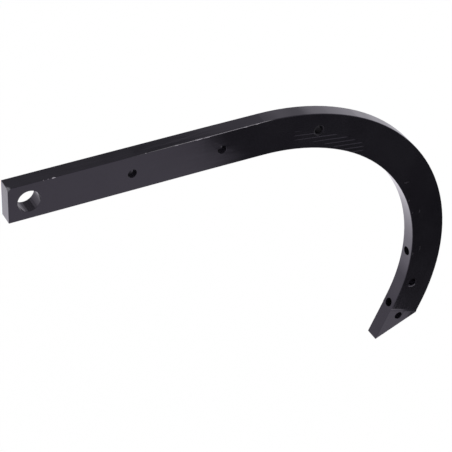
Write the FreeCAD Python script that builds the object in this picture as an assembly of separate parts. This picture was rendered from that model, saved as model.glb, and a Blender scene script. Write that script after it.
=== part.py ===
import FreeCAD, Part
import math
import os

"""A cultivator leg: one flat steel bar, bent edgewise into a hook, with an eye, bolt holes and a mitred tip.

Millimetres. The origin is the centre of the eye. +X runs along the shank, away from the eye, +Z is up,
and the hook curves down from the far end of the shank. The bar's thickness lies along Y, half each side.
Lengths along the leg are measured on its inner edge, which is the underside of the shank.
"""

# The flat bar
bar_width = 60.0
bar_thickness = 25.0
rolled_edge_radius = 0.8

# The straight shank
eye_to_end = 31.5
eye_to_bend = 375.5

# The hook, bent over two formers, and the short straight tip after it
first_bend_radius = 330.0
first_bend_angle = 25.0
main_bend_radius = 283.0
main_bend_angle = 87.3
tip_length = 75.0

# Bending squeezes the bar's inner side thicker and draws its outer side thinner, by this much a side.
# The swell grows along the end of the shank, and ends in a low step in the tip, just before the mitre.
bend_swell = 0.6
swell_run_in = 100.0
swell_run_out = 2.5

# The mitre at the tip, measured back along the leg from the point on the inner edge to the heel,
# and how far the tip's flat sides go on past the heel
mitre_length = 61.0
flat_before_mitre = 2.0

# The sawn edges of the eye end and of the mitre are broken by this much
sawn_edge_chamfer = 0.5

# The eye, and the bolt holes with their burr-free mouths
eye_bore = 35.0
eye_chamfer = 0.5
bolt_hole = 14.0
bolt_chamfer = 0.3

# Holes through the thickness, on the shank
shank_hole_from_eye = 160.0
shank_hole_pitch = 146.0

# The hole through the thickness early in the hook, with a wider countersink, measured from the inner edge too
bend_hole_from_bend_start = 90.0
bend_hole_depth = 31.0
bend_hole_chamfer = 1.7

# Holes through the thickness near the tip, measured from the tip and from the inner edge
wing_hole_from_tip = 52.0
wing_hole_depth = 24.0
stay_hole_from_tip = 119.5
stay_hole_depth = 20.0

# Holes through the width, for the share that lies on the inner edge, measured from the tip
share_hole = 15.0
share_hole_from_tip = 70.5
share_hole_pitch = 108.0

half_width = bar_width / 2
half_thickness = bar_thickness / 2
shank_length = eye_to_end + eye_to_bend
side_axis = FreeCAD.Vector(0, 1, 0)
overrun = 2.0
square_angle = 0.5


class Station:
    """A place on the leg's inner edge, with the way along the leg and the way out to its outer edge."""

    def __init__(self, point, heading):
        self.point = point
        self.heading = heading
        turn = math.radians(heading)
        self.along = FreeCAD.Vector(math.cos(turn), 0, -math.sin(turn))
        self.out = FreeCAD.Vector(math.sin(turn), 0, math.cos(turn))

    def at(self, depth, side=0.0):
        """The point this far in from the inner edge and this far to the side of the middle."""
        return self.point + self.out * depth + side_axis * side

    def ahead(self, distance):
        return Station(self.point + self.along * distance, self.heading)

    def round_bend(self, radius, angle):
        centre = self.bend_centre(radius)
        end = Station(centre, self.heading + angle)
        end.point = centre + end.out * radius
        return end

    def bend_centre(self, radius):
        return self.point - self.out * radius


eye_end = Station(FreeCAD.Vector(-eye_to_end, 0, -half_width), 0.0)
bend_start = eye_end.ahead(shank_length)
main_bend_start = bend_start.round_bend(first_bend_radius, first_bend_angle)
bend_end = main_bend_start.round_bend(main_bend_radius, main_bend_angle)
tip = bend_end.ahead(tip_length)

first_bend_length = first_bend_radius * math.radians(first_bend_angle)
main_bend_length = main_bend_radius * math.radians(main_bend_angle)
leg_length = shank_length + first_bend_length + main_bend_length + tip_length


def station_from_eye_end(distance):
    """The station this far along the inner edge from the eye end."""
    if distance <= shank_length:
        return eye_end.ahead(distance)
    distance -= shank_length
    if distance <= first_bend_length:
        return bend_start.round_bend(first_bend_radius, math.degrees(distance / first_bend_radius))
    distance -= first_bend_length
    if distance <= main_bend_length:
        return main_bend_start.round_bend(main_bend_radius, math.degrees(distance / main_bend_radius))
    return bend_end.ahead(distance - main_bend_length)


def station_from_tip(distance):
    return station_from_eye_end(leg_length - distance)


def face_offset(depth, swell):
    """How far the side face lies from the middle, this far in from the inner edge."""
    return half_thickness + swell * (1 - depth / half_width)


def rounded_wire(corners, radius):
    """A closed outline through these corners, each one rounded."""
    edges = []
    last_end = None
    first_start = None
    for index, corner in enumerate(corners):
        back = (corners[index - 1] - corner).normalize()
        onward = (corners[(index + 1) % len(corners)] - corner).normalize()
        half_angle = back.getAngle(onward) / 2
        reach = radius / math.tan(half_angle)
        start = corner + back * reach
        end = corner + onward * reach
        middle = corner + (back + onward).normalize() * (radius / math.sin(half_angle) - radius)
        if last_end is None:
            first_start = start
        else:
            edges.append(Part.LineSegment(last_end, start).toShape())
        edges.append(Part.Arc(start, middle, end).toShape())
        last_end = end
    edges.append(Part.LineSegment(last_end, first_start).toShape())
    return Part.Wire(edges)


def section(place, swell):
    """The bar's cross-section at a station: thicker at the inner edge by the swell, thinner at the outer."""
    inner = face_offset(0.0, swell)
    outer = face_offset(bar_width, swell)
    corners = [
        place.at(0.0, -inner),
        place.at(0.0, inner),
        place.at(bar_width, outer),
        place.at(bar_width, -outer),
    ]
    return rounded_wire(corners, rolled_edge_radius)


def straight_bar(start, length, swell):
    return Part.Face(section(start, swell)).extrude(start.along * length)


def swelling_bar(start, length, first_swell, last_swell):
    """A straight stretch whose section changes evenly from one swell to the other."""
    wires = [section(start, first_swell), section(start.ahead(length), last_swell)]
    return Part.makeLoft(wires, True, True)


def bent_bar(start, radius, angle):
    face = Part.Face(section(start, bend_swell))
    return face.revolve(start.bend_centre(radius), side_axis, angle)


def make_bar():
    """The bent bar before its ends are cut and its holes are made."""
    run_in_start = eye_end.ahead(shank_length - swell_run_in)
    flat_length = mitre_length + flat_before_mitre
    run_out_end = tip.ahead(-flat_length)
    run_out_start = run_out_end.ahead(-swell_run_out)
    pieces = [
        straight_bar(eye_end, shank_length - swell_run_in, 0.0),
        swelling_bar(run_in_start, swell_run_in, 0.0, bend_swell),
        bent_bar(bend_start, first_bend_radius, first_bend_angle),
        bent_bar(main_bend_start, main_bend_radius, main_bend_angle),
        straight_bar(bend_end, tip_length - flat_length - swell_run_out, bend_swell),
        swelling_bar(run_out_start, swell_run_out, bend_swell, 0.0),
        straight_bar(run_out_end, flat_length, 0.0),
    ]
    return pieces[0].fuse(pieces[1:]).removeSplitter()


def mitre_cutter():
    """What is sawn off the tip: everything past the line from the point to the heel."""
    point = tip.at(0.0)
    heel = tip.ahead(-mitre_length).at(bar_width)
    slope = (heel - point).normalize()
    reach = bar_width + mitre_length
    past_point = point - slope * reach
    past_heel = heel + slope * reach
    corners = [past_point, past_heel, past_heel + tip.along * reach * 2, past_point + tip.along * reach * 2]
    outline = Part.makePolygon(corners + [corners[0]])
    outline.translate(side_axis * -bar_thickness)
    return Part.Face(outline).extrude(side_axis * bar_thickness * 2)


def break_sawn_edges(leg):
    """Chamfers the outlines of the eye end and of the mitre."""
    mitre = (tip.at(0.0) - tip.ahead(-mitre_length).at(bar_width)).normalize()
    mitre_normal = mitre.cross(side_axis)
    square = math.cos(math.radians(square_angle))
    edges = []
    for face in leg.Faces:
        if not isinstance(face.Surface, Part.Plane):
            continue
        normal = face.normalAt(0, 0)
        if abs(normal.dot(eye_end.along)) > square or abs(normal.dot(mitre_normal)) > square:
            edges += face.Edges
    return leg.makeChamfer(sawn_edge_chamfer, edges)


def hole_cutter(middle, axis, diameter, half_length, chamfer):
    """A drill through the bar with a countersink at each face, half_length from the middle."""
    radius = diameter / 2
    far = half_length + overrun
    cutter = Part.makeCylinder(radius, far * 2, middle - axis * far, axis)
    for way in (axis, axis * -1):
        root = middle + way * (half_length - chamfer)
        cutter = cutter.fuse(Part.makeCone(radius, radius + chamfer + overrun, chamfer + overrun, root, way))
    return cutter


def side_hole(place, depth, diameter, chamfer, swell):
    """A hole through the thickness."""
    return hole_cutter(place.at(depth), side_axis, diameter, face_offset(depth, swell), chamfer)


def edge_hole(place, diameter, chamfer):
    """A hole through the width, square to the inner edge."""
    return hole_cutter(place.at(half_width), place.out, diameter, half_width, chamfer)


def shank_holes():
    eye = side_hole(eye_end.ahead(eye_to_end), half_width, eye_bore, eye_chamfer, 0.0)
    cutters = [eye]
    for count in range(2):
        place = eye_end.ahead(eye_to_end + shank_hole_from_eye + count * shank_hole_pitch)
        cutters.append(side_hole(place, half_width, bolt_hole, bolt_chamfer, 0.0))
    return cutters


def hook_holes():
    bend_hole = station_from_eye_end(shank_length + bend_hole_from_bend_start)
    stay_hole = station_from_tip(stay_hole_from_tip)
    wing_hole = station_from_tip(wing_hole_from_tip)
    return [
        side_hole(bend_hole, bend_hole_depth, bolt_hole, bend_hole_chamfer, bend_swell),
        side_hole(stay_hole, stay_hole_depth, bolt_hole, bolt_chamfer, bend_swell),
        side_hole(wing_hole, wing_hole_depth, bolt_hole, bolt_chamfer, 0.0),
    ]


def share_holes():
    places = [station_from_tip(share_hole_from_tip + count * share_hole_pitch) for count in range(2)]
    return [edge_hole(place, share_hole, bolt_chamfer) for place in places]


def make_leg():
    leg = break_sawn_edges(make_bar().cut(mitre_cutter()))
    for cutter in shank_holes() + hook_holes() + share_holes():
        leg = leg.cut(cutter)
    return leg.removeSplitter().Solids[0]


os.makedirs("parts", exist_ok=True)
cultivator_leg = make_leg()
cultivator_leg.exportStep("parts/cultivator_leg.step")
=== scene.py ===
"""The looks of a cultivator leg: black gloss paint on one bent and drilled steel bar, in a plain pale studio.

Metres, in the part's own frame: the origin is the centre of the eye, +X runs along the shank, +Z is up.
"""
import math

import bpy
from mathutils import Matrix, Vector

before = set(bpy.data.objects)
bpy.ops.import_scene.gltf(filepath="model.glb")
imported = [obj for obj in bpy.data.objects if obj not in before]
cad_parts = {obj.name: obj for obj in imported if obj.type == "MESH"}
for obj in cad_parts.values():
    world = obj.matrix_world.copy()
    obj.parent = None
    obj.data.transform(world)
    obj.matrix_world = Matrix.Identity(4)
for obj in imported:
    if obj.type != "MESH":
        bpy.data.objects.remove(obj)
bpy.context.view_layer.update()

# The bar and its two bends, as the part's source has them
bar_width = 0.060
bar_thickness = 0.025
eye_end_x = -0.0315
bend_start_x = 0.3755
first_bend_radius = 0.330
first_bend_turn = math.radians(25.0)
main_bend_radius = 0.283
whole_turn = math.radians(112.3)

# Two holes in the hook, as the part's source has them: along the leg's inner edge, and in from that edge
bend_hole_from_bend_start = 0.090
bend_hole_depth = 0.031
stay_hole_from_bend_end = 0.0445
stay_hole_depth = 0.020

# The camera
camera_place = (-0.70695, -1.80497, 1.45901)
camera_turn = (52.0913, -2.6265, -27.7594)
camera_lens = 136.4
sensor_width = 36.0

# The studio
floor_z = -1.5
floor_reach = 14.0
floor_glow = 0.80
floor_colour = (0.22, 0.22, 0.22, 1.0)
ceiling_z = 2.6
ceiling_reach = 9.0
world_tone = 1.0
world_fill = 0.9

# The studio's white, and the faint violet cast of all that the paint mirrors
plain_white = (1.0, 1.0, 1.0, 1.0)
mirror_tint = (1.0, 0.97, 1.05, 1.0)

# How bright the ceiling is, this far out from over the eye
ceiling_stops = (
    (3.45, 0.31),
    (3.60, 0.25),
    (3.70, 0.11),
    (3.76, 0.13),
    (3.82, 0.42),
    (3.98, 0.46),
    (4.40, 0.67),
    (4.78, 0.80),
    (5.20, 0.74),
    (5.80, 0.62),
    (6.50, 0.62),
    (7.20, 0.70),
    (8.20, 0.92),
)

# Square cards on the floor that only mirrors see: place, lift over the floor, half the side, and how bright
# each is this far out from its middle. Behind the shank lies a pool of light, with shaded floor to both sides
# of it. In front there are soft shade and a brighter spot before the tip.
cards = {
    "studio_pool": ((0.2, 1.7), 0.020, 1.3, (
        (0.60, 1.46), (0.71, 1.46), (0.78, 1.41), (0.87, 1.36),
        (0.95, 1.30), (1.0, 1.24), (1.1, 1.13), (1.3, 1.0))),
    "studio_shade_right": ((2.4, 2.1), 0.005, 4.5, (
        (0.4, 0.68), (1.2, 0.76), (2.0, 0.80), (2.9, 0.87), (4.5, 1.0))),
    "studio_shade_left": ((-5.2, 4.6), 0.005, 2.2, (
        (0.6, 0.84), (2.2, 1.0))),
    "studio_shade_front": ((2.32, -1.9), 0.007, 2.0, (
        (0.90, 0.10), (0.95, 0.28), (1.0, 0.52), (1.05, 0.72),
        (1.12, 0.81), (1.3, 0.87), (1.7, 0.87), (2.0, 1.0))),
    "studio_spot": ((1.38, -0.99), 0.008, 0.3, (
        (0.12, 0.99), (0.30, 0.95))),
}

# The dark flag among them, which the hook's side face mirrors: its place, lift over the floor, outline about
# that place, and how bright it is this far out. Its left side passes close by the floor that the flat tip
# mirrors.
flag_place = (1.70, -2.0)
flag_lift = 0.010
flag_outline = (
    (-0.30, -0.55),
    (-0.30, 0.10),
    (-0.26, 0.80),
    (-0.232, 0.985),
    (-0.240, 1.012),
    (-0.254, 1.034),
    (-0.285, 1.078),
    (-0.21, 1.45),
    (1.5, 1.8),
    (1.7, -0.9),
)
flag_stops = (
    (0.35, 0.105),
    (0.70, 0.050),
    (0.85, 0.060),
    (1.05, 0.100),
)

# The softbox: its place, the point it faces, its width and height, and how bright its surface is
softbox_place = (2.6, 2.3, 0.45)
softbox_target = (0.5, 0.0, 0.0)
softbox_width = 2.6
softbox_height = 1.5
softbox_tone = 0.12

# The paint, in linear colour
paint_colour = (0.0066, 0.0061, 0.0086, 1.0)
dusty_colour = (0.0090, 0.0085, 0.0114, 1.0)
paint_tint = (0.86, 0.793, 0.955, 1.0)
paint_specular = 0.575
paint_roughness = 0.070
roughness_spread = 0.02
edge_roughness = 0.22

# The clouds of dust on it, and over which part of their noise the colour and the gloss change
cloud_scale = 22.0
cloud_detail = 3.0
cloud_grit = 0.55
cloud_dust = (0.32, 0.68)
cloud_gloss = (0.35, 0.65)

# Bare steel where the paint is chipped, and the duller steel of the corner knocked off the eye end
bare_colour = (0.50, 0.49, 0.50, 1.0)
bare_roughness = 0.42
knock_colour = (0.13, 0.13, 0.14, 1.0)
knock_roughness = 0.55

# The rolling grain, drawn out along the bar, and the small unevenness of the paint over it
grain_scale = 90.0
grain_stretch = 7.0
grain_height = 0.00008
peel_scale = 420.0
peel_detail = 1.0
peel_height = 0.0000022

# How far sideways the surface faces on rolled edges and at the mouths of holes, from 0 to 1
edge_lean = (0.15, 0.45, 0.85, 0.97)

# How the outlines of small patches of wear wander, and where in a patch it fades
ragged_scale = 900.0
ragged_range = (0.3, 0.7)
raggedness = 0.35
patch_fade = (0.8, 1.0)

# Thin rubs on the rolled edges: sparse ones, and a long one on the shank's upper front edge
rub_scale = 60.0
rub_detail = 3.0
rub_grit = 0.6
rub_range = (0.69, 0.74)
long_rub_x = (0.145, 0.300, 0.370, 0.395)
long_rub_depth = 0.002

# The ripples that bending left on the hook's inner half, one above the other and nearly level: each rises
# gently and falls steeply, and they grow away from the shank. Their foot and their top both draw nearer to the
# inner edge along the hook.
ripple_pitch = 0.0075
ripple_slope = math.tan(math.radians(8.0))
ripple_wave = (0.00, 0.68, 0.72, 1.00)
ripple_drift = 0.45
ripple_drift_scale = 14.0
ripple_drift_detail = 1.0
ripple_heights = (0.00015, 0.00019)
ripple_dullness = 0.025
ripple_x = (0.412, 0.434, 0.550, 0.580)
ripple_foot_slope = 0.186
ripple_foot = (0.091, 0.099)
ripple_top_slope = 0.10
ripple_top = (0.073, 0.083)

# Chips along the shank's upper front edge: distance from the eye end, length and height of each
chips = (
    (0.0539, 0.0009, 0.0004),
    (0.0610, 0.0008, 0.0005),
    (0.0690, 0.0026, 0.0010),
    (0.2125, 0.0012, 0.0005),
    (0.2615, 0.0030, 0.0007),
    (0.2847, 0.0015, 0.0006),
    (0.2980, 0.0070, 0.0008),
    (0.3120, 0.0060, 0.0007),
    (0.3755, 0.0030, 0.0006),
    (0.3950, 0.0030, 0.0007),
)
chip_inset = 0.0004

# The knocked corner of the eye end, its top front one: how far it goes along each way
knock_reach = (0.0045, 0.0070, 0.0040)

# The raised lip at the mouth of the stay hole, and from where to where it fades in, from the side away from
# the tip (-1) to the tip's side (1)
lip_height = 0.00025
lip_radius = 0.0086
lip_half_width = 0.0013
lip_fade = (0.45, 0.85)

# Inside the bend hole and on its wide countersink the paint is dull, and painted shade darkens its colour and
# dims its gloss; the rim around it is made paler, most towards the eye
mouth_reach = 0.0094
mouth_lean = (0.85, 0.95)
mouth_roughness = 0.30
# Painted shade: the darker colour and the dimmer gloss tint below stand for the shade inside the bend hole
mouth_colour = (0.0028, 0.0026, 0.0036, 1.0)
mouth_tint = (0.40, 0.37, 0.445, 1.0)
rim_radii = (0.0080, 0.0087, 0.0092, 0.0099)
rim_paling = (0.29, 0.00)

# The low step before the mitre, where the paint is duller: how far down the tip's own way the dull band
# begins and ends
step_stops = (0.1515, 0.1535, 0.1560, 0.1595)
step_dullness = 0.09

# Faint scuffs on the hook's front face: x, z, length and height of each
scuffs = (
    (0.6500, -0.1645, 0.0050, 0.0013),
    (0.6588, -0.2037, 0.0014, 0.0018),
    (0.6695, -0.2325, 0.0010, 0.0022),
    (0.6834, -0.2337, 0.0010, 0.0034),
    (0.6824, -0.3224, 0.0016, 0.0026),
    (0.6954, -0.3152, 0.0009, 0.0055),
)
scuff_colour = (0.036, 0.034, 0.040, 1.0)

half_width = bar_width / 2
half_thickness = bar_thickness / 2


def on_bend(centre, radius, turn):
    """The x and z of a point this far out from a bend's centre, where the leg has turned down this far."""
    return centre[0] + radius * math.sin(turn), centre[1] + radius * math.cos(turn)


first_bend_centre = (bend_start_x, -half_width - first_bend_radius)
main_bend_centre = on_bend(first_bend_centre, first_bend_radius - main_bend_radius, first_bend_turn)
bend_hole_turn = bend_hole_from_bend_start / first_bend_radius
bend_hole = on_bend(first_bend_centre, first_bend_radius + bend_hole_depth, bend_hole_turn)
stay_hole_turn = whole_turn - stay_hole_from_bend_end / main_bend_radius
stay_hole = on_bend(main_bend_centre, main_bend_radius + stay_hole_depth, stay_hole_turn)
tip_way = (math.cos(whole_turn), -math.sin(whole_turn))


class Graph:
    """The nodes of one material or of the world, added and linked in reading order."""

    def __init__(self, tree):
        self.tree = tree
        tree.nodes.clear()

    def node(self, kind, inputs=None, **settings):
        made = self.tree.nodes.new(kind)
        for name, value in settings.items():
            setattr(made, name, value)
        for name, value in (inputs or {}).items():
            self.feed(made.inputs[name], value)
        return made

    def feed(self, socket, value):
        if isinstance(value, bpy.types.NodeSocket):
            self.tree.links.new(value, socket)
        else:
            socket.default_value = value

    def math(self, operation, *values, clamp=False):
        inputs = dict(enumerate(values))
        return self.node("ShaderNodeMath", inputs, operation=operation, use_clamp=clamp).outputs[0]

    def length(self, *ways):
        """How long a line is that goes this far each way."""
        total = self.math("POWER", ways[0], 2.0)
        for way in ways[1:]:
            total = self.math("ADD", total, self.math("POWER", way, 2.0))
        return self.math("SQRT", total)

    def most(self, values):
        """The greatest of some values."""
        total = values[0]
        for value in values[1:]:
            total = self.math("MAXIMUM", total, value)
        return total

    def between(self, value, low, high, new_low=0.0, new_high=1.0, smooth=True):
        """The value carried over from one range to another, and held at its ends."""
        kind = "SMOOTHSTEP" if smooth else "LINEAR"
        inputs = {"Value": value, "From Min": low, "From Max": high, "To Min": new_low, "To Max": new_high}
        return self.node("ShaderNodeMapRange", inputs, interpolation_type=kind, clamp=True).outputs[0]

    def window(self, value, stops):
        """1 between the two middle stops, falling to 0 at the outer ones."""
        rise = self.between(value, stops[0], stops[1])
        fall = self.between(value, stops[2], stops[3], 1.0, 0.0)
        return self.math("MULTIPLY", rise, fall)

    def noise(self, place, scale, detail=2.0, grit=0.5):
        inputs = {"Vector": place, "Scale": scale, "Detail": detail, "Roughness": grit}
        return self.node("ShaderNodeTexNoise", inputs, noise_dimensions="3D").outputs[0]

    def ramp(self, value, stops):
        """A tone that runs straight from each stop to the next, and is held past the ends."""
        reach = stops[-1][0]
        made = self.node("ShaderNodeValToRGB", {0: self.math("DIVIDE", value, reach)})
        marks = made.color_ramp.elements
        while len(marks) < len(stops):
            marks.new(1.0)
        for mark, (place, tone) in zip(marks, stops):
            mark.position = place / reach
            mark.color = (tone, tone, tone, 1.0)
        return made.outputs[0]

    def blend(self, amount, first, second):
        """A number between two."""
        return self.node("ShaderNodeMix", {0: amount, 2: first, 3: second}).outputs[0]

    def mix(self, amount, first, second):
        """A colour between two."""
        return self.node("ShaderNodeMix", {0: amount, 6: first, 7: second}, data_type="RGBA").outputs[2]

    def finish(self, kind, surface):
        self.node(kind, {0: surface})


def new_material(name):
    material = bpy.data.materials.new(name)
    material.use_nodes = True
    return material, Graph(material.node_tree)


def away_from(graph, places, middle):
    """How far a point lies from a middle, and how far along x and up from it."""
    east = graph.math("SUBTRACT", places.x, middle[0])
    north = graph.math("SUBTRACT", places.z, middle[1])
    return graph.length(east, north), east, north


class Places:
    """Where a point of the leg lies: its own x, y and z, how far along and across the bent bar it is, and how
    far sideways its surface faces, from 0 to 1."""

    def __init__(self, graph):
        self.point = graph.node("ShaderNodeTexCoord").outputs["Object"]
        self.x, self.y, self.z = graph.node("ShaderNodeSeparateXYZ", {0: self.point}).outputs
        radius, east, north = away_from(graph, self, main_bend_centre)
        turned = graph.math("MULTIPLY", graph.math("ARCTAN2", east, north), main_bend_radius + half_width)
        bent = graph.math("GREATER_THAN", self.x, main_bend_centre[0])
        self.along = graph.blend(bent, east, turned)
        self.across = graph.blend(bent, north, radius)
        normal = graph.node("ShaderNodeNewGeometry").outputs["Normal"]
        side = graph.node("ShaderNodeSeparateXYZ", {0: normal}).outputs[1]
        self.sideways = graph.math("ABSOLUTE", side)


def patch(graph, places, middle, reach):
    """1 in a small ragged patch around a place, which reaches this far each way."""
    ragged = graph.noise(places.point, ragged_scale)
    ragged = graph.between(ragged, *ragged_range, 1.0 - raggedness, 1.0 + raggedness, smooth=False)
    ways = []
    for value, centre, extent in zip((places.x, places.y, places.z), middle, reach):
        ways.append(graph.math("DIVIDE", graph.math("SUBTRACT", value, centre), extent))
    away = graph.math("MULTIPLY", graph.length(*ways), ragged)
    return graph.between(away, *patch_fade, 1.0, 0.0)


def chip_mask(graph, places):
    """1 in the chips listed above."""
    patches = []
    for place, length, height in chips:
        middle = (eye_end_x + place, chip_inset - half_thickness, half_width - chip_inset)
        patches.append(patch(graph, places, middle, (length, height, height)))
    return graph.most(patches)


def scuff_mask(graph, places):
    """1 in the scuffs listed above."""
    patches = []
    for x, z, length, height in scuffs:
        reach = (length, half_thickness, height)
        patches.append(patch(graph, places, (x, -half_thickness, z), reach))
    return graph.most(patches)


def knock_mask(graph, places):
    """1 in the knocked corner of the eye end."""
    return patch(graph, places, (eye_end_x, -half_thickness, half_width), knock_reach)


def edge_rubs(graph, places, edges):
    """Thin bright rubs on the rolled edges: one long one on the shank's upper front edge, few elsewhere."""
    sparse = graph.between(graph.noise(places.point, rub_scale, rub_detail, rub_grit), *rub_range)
    front = graph.math("LESS_THAN", places.y, 0.0)
    upper = graph.math("GREATER_THAN", places.z, half_width - long_rub_depth)
    corner = graph.math("MULTIPLY", front, upper)
    long_rub = graph.math("MULTIPLY", graph.window(places.x, long_rub_x), corner)
    return graph.math("MULTIPLY", edges, graph.math("MAXIMUM", sparse, long_rub))


def bend_hole_masks(graph, places):
    """1 inside the bend hole and on its countersink, where the paint is dull and painted shade darkens it, and
    how much paler the rim around it is made.
    """
    radius, east, _ = away_from(graph, places, bend_hole)
    near = graph.math("LESS_THAN", radius, mouth_reach)
    inside = graph.math("MULTIPLY", near, graph.between(places.sideways, *mouth_lean, 1.0, 0.0))
    rubbed = graph.between(east, -mouth_reach, mouth_reach, *rim_paling)
    return inside, graph.math("MULTIPLY", graph.window(radius, rim_radii), rubbed)


def step_band(graph, places):
    """1 over the low step before the mitre."""
    along = [graph.math("MULTIPLY", value, share) for value, share in zip((places.x, places.z), tip_way)]
    return graph.window(graph.math("ADD", *along), step_stops)


def ripples(graph, places):
    """How high the bending ripples are, from 0 to 1, and how much of them is left this far out."""
    level = graph.math("ADD", places.z, graph.math("MULTIPLY", places.x, ripple_slope))
    noise = graph.noise(places.point, ripple_drift_scale, ripple_drift_detail)
    drift = graph.math("MULTIPLY", noise, ripple_drift)
    wave = graph.math("FRACT", graph.math("ADD", graph.math("DIVIDE", level, ripple_pitch), drift))
    depth = graph.math("SUBTRACT", places.across, main_bend_radius)
    over_foot = graph.math("ADD", depth, graph.math("MULTIPLY", places.x, ripple_foot_slope))
    under_top = graph.math("ADD", depth, graph.math("MULTIPLY", places.x, ripple_top_slope))
    foot = graph.between(over_foot, *ripple_foot)
    top = graph.between(under_top, *ripple_top, 1.0, 0.0)
    share = graph.math("MULTIPLY", graph.math("MULTIPLY", foot, top), graph.window(places.x, ripple_x))
    return graph.math("MULTIPLY", graph.window(wave, ripple_wave), share), share


def lip_relief(graph, places):
    """The height in metres of the raised lip."""
    radius, _, north = away_from(graph, places, stay_hole)
    down = graph.math("DIVIDE", graph.math("MULTIPLY", north, -1.0), radius)
    inner = lip_radius - lip_half_width
    outer = lip_radius + lip_half_width
    ring = graph.window(radius, (inner, lip_radius, lip_radius, outer))
    return graph.math("MULTIPLY", ring, graph.between(down, *lip_fade, 0.0, lip_height))


def surface_height(graph, places, ripple):
    """The whole fine relief in metres: grain, paint, ripples and lip."""
    drawn_out = graph.math("DIVIDE", places.along, grain_stretch)
    spot = graph.node("ShaderNodeCombineXYZ", {0: drawn_out, 1: places.y, 2: places.across}).outputs[0]
    grain = graph.math("MULTIPLY", graph.noise(spot, grain_scale), grain_height)
    peel = graph.math("MULTIPLY", graph.noise(places.point, peel_scale, peel_detail), peel_height)
    growing = graph.between(places.x, ripple_x[1], ripple_x[2], *ripple_heights, smooth=False)
    raised = graph.math("ADD", graph.math("MULTIPLY", ripple, growing), lip_relief(graph, places))
    return graph.math("ADD", graph.math("ADD", grain, peel), raised)


class WearAndShade:
    """The clouds over the paint, and the masks of what marks it, with the painted shade in the bend hole: 1
    where a mark is full, 0 where none is.
    """

    def __init__(self, graph, places):
        self.cloud = graph.noise(places.point, cloud_scale, cloud_detail, cloud_grit)
        self.edges = edge_band(graph, places)
        self.bare = graph.math("MAXIMUM", chip_mask(graph, places), edge_rubs(graph, places, self.edges))
        self.knock = knock_mask(graph, places)
        self.mouth, self.rim = bend_hole_masks(graph, places)
        self.scuffs = scuff_mask(graph, places)
        self.step = step_band(graph, places)


def edge_band(graph, places):
    """1 on the rolled edges and at the mouths of the holes, whose surface leans, and 0 on the flats."""
    return graph.window(places.sideways, edge_lean)


def worn_and_shaded_colour(graph, wear_and_shade):
    colour = graph.mix(graph.between(wear_and_shade.cloud, *cloud_dust), paint_colour, dusty_colour)
    colour = graph.mix(wear_and_shade.scuffs, colour, scuff_colour)
    # Painted shade inside the bend hole and on its countersink
    colour = graph.mix(wear_and_shade.mouth, colour, mouth_colour)
    colour = graph.mix(wear_and_shade.bare, colour, bare_colour)
    # The knocked corner, and the paler ring around the bend hole, palest on the side towards the eye
    return graph.mix(graph.math("MAXIMUM", wear_and_shade.knock, wear_and_shade.rim), colour, knock_colour)


def worn_roughness(graph, wear_and_shade, ripple_share):
    smoothest = paint_roughness - roughness_spread / 2
    roughest = paint_roughness + roughness_spread / 2
    roughness = graph.between(wear_and_shade.cloud, *cloud_gloss, smoothest, roughest)
    dull_places = (
        (wear_and_shade.edges, edge_roughness - paint_roughness),
        (ripple_share, ripple_dullness),
        (wear_and_shade.step, step_dullness),
        (wear_and_shade.mouth, mouth_roughness),
    )
    for mask, rougher in dull_places:
        roughness = graph.math("ADD", roughness, graph.math("MULTIPLY", mask, rougher))
    roughness = graph.blend(wear_and_shade.bare, roughness, bare_roughness)
    return graph.blend(wear_and_shade.knock, roughness, knock_roughness)


def leg_paint():
    """The leg's one material: gloss paint with its dust, chips, rubs, dull places, painted shade in the bend
    hole and fine relief.
    """
    material, graph = new_material("black_paint")
    places = Places(graph)
    wear_and_shade = WearAndShade(graph, places)
    ripple, ripple_share = ripples(graph, places)
    height = surface_height(graph, places, ripple)
    bump = graph.node("ShaderNodeBump", {"Height": height, "Distance": 1.0, "Strength": 1.0})
    shader = graph.node("ShaderNodeBsdfPrincipled", {
        "Base Color": worn_and_shaded_colour(graph, wear_and_shade),
        "Metallic": wear_and_shade.bare,
        "Roughness": worn_roughness(graph, wear_and_shade, ripple_share),
        "Normal": bump.outputs[0],
        "Specular IOR Level": paint_specular,
        # Painted shade: dimmer gloss inside the bend hole
        "Specular Tint": graph.mix(wear_and_shade.mouth, paint_tint, mouth_tint),
    })
    graph.finish("ShaderNodeOutputMaterial", shader.outputs[0])
    return material


def seen_plainly(graph):
    """1 for the rays of the camera, of mirrors and of glass, and 0 for those that only light things."""
    path = graph.node("ShaderNodeLightPath").outputs
    total = graph.math("ADD", path["Is Camera Ray"], path["Is Glossy Ray"])
    return graph.math("ADD", total, path["Is Transmission Ray"], clamp=True)


def studio_white(graph):
    """White, with a faint cast where it is mirrored."""
    mirrored = graph.node("ShaderNodeLightPath").outputs["Is Glossy Ray"]
    return graph.mix(mirrored, plain_white, mirror_tint)


def floor_material():
    """White where it is seen, with the leg's soft shadow kept in the part of it that is lit."""
    material, graph = new_material("studio_floor")
    lit = graph.node("ShaderNodeBsdfDiffuse", {"Color": floor_colour})
    strength = graph.math("MULTIPLY", seen_plainly(graph), floor_glow)
    glow = graph.node("ShaderNodeEmission", {"Color": studio_white(graph), "Strength": strength})
    both = graph.node("ShaderNodeAddShader", {0: lit.outputs[0], 1: glow.outputs[0]})
    graph.finish("ShaderNodeOutputMaterial", both.outputs[0])
    return material


def glowing_material(name, stops):
    """A sheet that glows by how far out from its own middle a point is."""
    material, graph = new_material(name)
    point = graph.node("ShaderNodeTexCoord").outputs["Object"]
    away = graph.node("ShaderNodeVectorMath", {0: point}, operation="LENGTH").outputs["Value"]
    glow = graph.node("ShaderNodeEmission", {"Color": mirror_tint, "Strength": graph.ramp(away, stops)})
    graph.finish("ShaderNodeOutputMaterial", glow.outputs[0])
    return material


def square(reach):
    return ((-reach, -reach), (reach, -reach), (reach, reach), (-reach, reach))


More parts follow.
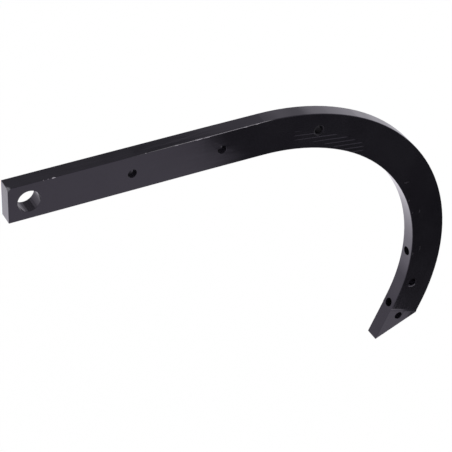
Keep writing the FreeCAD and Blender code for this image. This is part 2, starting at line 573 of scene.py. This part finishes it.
def flat_sheet(name, outline, height, material, place=(0.0, 0.0)):
    """A level polygon that belongs to the studio."""
    mesh = bpy.data.meshes.new(name)
    mesh.from_pydata([(x, y, 0.0) for x, y in outline], [], [range(len(outline))])
    sheet = bpy.data.objects.new(name, mesh)
    sheet.location = (*place, height)
    mesh.materials.append(material)
    bpy.context.scene.collection.objects.link(sheet)
    return sheet


def mirror_card(name, outline, height, stops, place=(0.0, 0.0)):
    """A glowing sheet seen in reflections alone: it doesn't show in a view or light what is dull."""
    card = flat_sheet(name, outline, height, glowing_material(name, stops), place)
    card.visible_camera = False
    card.visible_diffuse = False
    card.visible_shadow = False


def make_softbox():
    """A rectangular lamp behind the leg."""
    lamp = bpy.data.lights.new("softbox_back_right", "AREA")
    lamp.shape = "RECTANGLE"
    lamp.size = softbox_width
    lamp.size_y = softbox_height
    lamp.energy = softbox_tone * math.pi * softbox_width * softbox_height
    softbox = bpy.data.objects.new("softbox_back_right", lamp)
    softbox.location = softbox_place
    way = Vector(softbox_target) - softbox.location
    softbox.rotation_euler = way.to_track_quat("-Z", "Y").to_euler()
    softbox.visible_camera = False
    bpy.context.scene.collection.objects.link(softbox)


def make_studio():
    flat_sheet("studio_floor", square(floor_reach), floor_z, floor_material())
    mirror_card("studio_ceiling", square(ceiling_reach), ceiling_z, ceiling_stops)
    for name, (place, lift, reach, stops) in cards.items():
        mirror_card(name, square(reach), floor_z + lift, stops, place)
    mirror_card("studio_flag", flag_outline, floor_z + flag_lift, flag_stops, flag_place)
    make_softbox()


def make_world():
    world = bpy.data.worlds.new("studio_air")
    bpy.context.scene.world = world
    world.use_nodes = True
    graph = Graph(world.node_tree)
    strength = graph.between(seen_plainly(graph), 0.0, 1.0, world_fill, world_tone, smooth=False)
    air = graph.node("ShaderNodeBackground", {"Color": studio_white(graph), "Strength": strength})
    graph.finish("ShaderNodeOutputWorld", air.outputs[0])


def make_camera():
    data = bpy.data.cameras.new("camera")
    data.lens = camera_lens
    data.sensor_width = sensor_width
    camera = bpy.data.objects.new("camera", data)
    camera.location = camera_place
    camera.rotation_euler = [math.radians(angle) for angle in camera_turn]
    bpy.context.scene.collection.objects.link(camera)
    bpy.context.scene.camera = camera


def dress_leg():
    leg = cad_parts["cultivator_leg"]
    paint = leg_paint()
    for slot in leg.material_slots:
        slot.material = paint


bpy.context.scene.view_settings.view_transform = "Standard"
make_camera()
make_world()
make_studio()
dress_leg()
